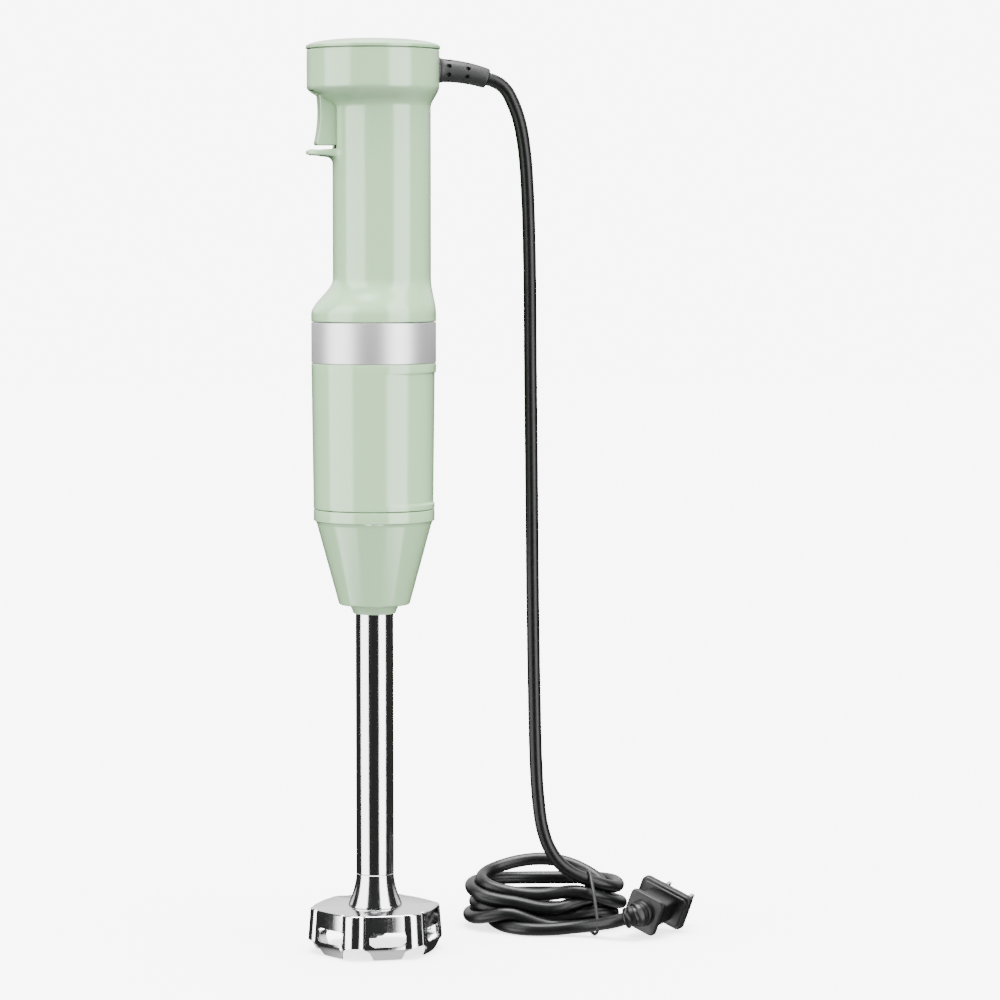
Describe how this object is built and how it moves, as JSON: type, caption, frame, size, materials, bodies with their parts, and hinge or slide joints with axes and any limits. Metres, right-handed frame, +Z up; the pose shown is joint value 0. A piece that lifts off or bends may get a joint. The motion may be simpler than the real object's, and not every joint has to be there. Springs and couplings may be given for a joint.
{
  "type": "immersion blender",
  "caption": "Corded stick blender: round motor body with finger trigger, twist-off steel arm with windowed bell guard and blade, and a coiled mains lead ending in a plug.",
  "frame": {"origin": "on the floor under the axis of the blending tube, where the bell guard stands", "axes": "+Z up along the tube's axis, -Y out of the trigger, +Y out of the strain relief at the back of the head"},
  "size_m": [0.1062, 0.1867, 0.4105],
  "materials": {
    "pistachio_shell": "glossy moulded plastic",
    "brushed_band": "fine circumferential brushing",
    "polished_steel": "mirror polished stainless",
    "blade_steel": "ground stainless",
    "machined_steel": "machined",
    "motor_steel": "plain steel",
    "aluminium": "extruded",
    "copper": "enamelled copper",
    "black_plastic": "moulded",
    "inner_plastic": "moulded",
    "black_rubber": "matt",
    "cord_vinyl": "satin",
    "tie_wire": "plastic covered wire",
    "bush_bronze": "sintered",
    "board_green": "solder mask",
    "capacitor_blue": "cast",
    "lead_brown": "insulation",
    "lead_blue": "insulation"
  },
  "bodies": {
    "motor_body": {"top_cap": "pistachio_shell", "upper_shell": "pistachio_shell", "motor_sleeve": "pistachio_shell", "trim_band": "brushed_band", "trigger_pin": "machined_steel", "lower_motor_bearing": "machined_steel", "upper_motor_bearing": "machined_steel", "plug_pin_1": "machined_steel", "plug_pin_2": "machined_steel", "shell_screw_1": "machined_steel", "shell_screw_2": "machined_steel", "motor_screw_1": "machined_steel", "motor_screw_2": "machined_steel", "trigger_spring": "machined_steel", "motor_can": "motor_steel", "magnet_left": "motor_steel", "magnet_right": "motor_steel", "heat_sink": "aluminium", "motor_end_cap": "black_plastic", "switch_module": "black_plastic", "brush_left": "black_plastic", "brush_right": "black_plastic", "inner_chassis": "inner_plastic", "bayonet_socket": "inner_plastic", "motor_mount": "inner_plastic", "strain_relief": "black_rubber", "damper_lower": "black_rubber", "damper_upper": "black_rubber", "power_cord": "cord_vinyl", "cord_coil": "cord_vinyl", "cord_tail": "cord_vinyl", "plug_body": "cord_vinyl", "cord_tie": "tie_wire", "circuit_board": "board_green", "suppression_capacitor": "capacitor_blue", "lead_live": "lead_brown", "lead_neutral": "lead_blue"},
    "trigger": {"trigger": "pistachio_shell"},
    "plunger": {"switch_plunger": "inner_plastic"},
    "rotor": {"motor_shaft": "machined_steel", "armature_core": "motor_steel", "winding_lower": "copper", "winding_upper": "copper", "commutator": "copper", "cooling_fan": "black_plastic", "drive_coupling": "black_plastic"},
    "blending_arm": {"arm_cone": "pistachio_shell", "arm_tube": "polished_steel", "tube_flare": "polished_steel", "bell_guard": "polished_steel", "tube_nut": "machined_steel", "upper_bush": "bush_bronze", "lower_bush": "bush_bronze", "shaft_seal": "black_rubber"},
    "blade_shaft": {"drive_shaft": "machined_steel", "arm_coupling": "black_plastic", "blade": "blade_steel", "blade_nut": "blade_steel", "blade_spacer": "blade_steel"}
  },
  "joints": [
    {"name": "trigger_pull", "type": "hinge", "parent": "motor_body", "child": "trigger", "pos_m": [0, -0.0215, 0.393], "axis": [1, 0, 0], "range_deg": [0, 8], "stiffness_Nm_per_rad": 0.5, "springref_deg": -8.59},
    {"name": "plunger_press", "type": "slide", "parent": "motor_body", "child": "plunger", "axis": [0, 1, 0], "range_m": [0, 0.0032]},
    {"name": "rotor_spin", "type": "hinge", "parent": "motor_body", "child": "rotor", "pos_m": [0, 0, 0.25], "axis": [0, 0, 1], "continuous": true},
    {"name": "arm_twist", "type": "hinge", "parent": "motor_body", "child": "blending_arm", "pos_m": [0, 0, 0.2], "axis": [0, 0, 1], "range_deg": [0, 40]},
    {"name": "blade_spin", "type": "hinge", "parent": "blending_arm", "child": "blade_shaft", "pos_m": [0, 0, 0.1], "axis": [0, 0, 1], "continuous": true}
  ],
  "couplings": [
    {"joint": "plunger_press", "follows": "trigger_pull", "m_per_rad": 0.0215},
    {"joint": "blade_spin", "follows": "rotor_spin", "ratio": 1}
  ]
}
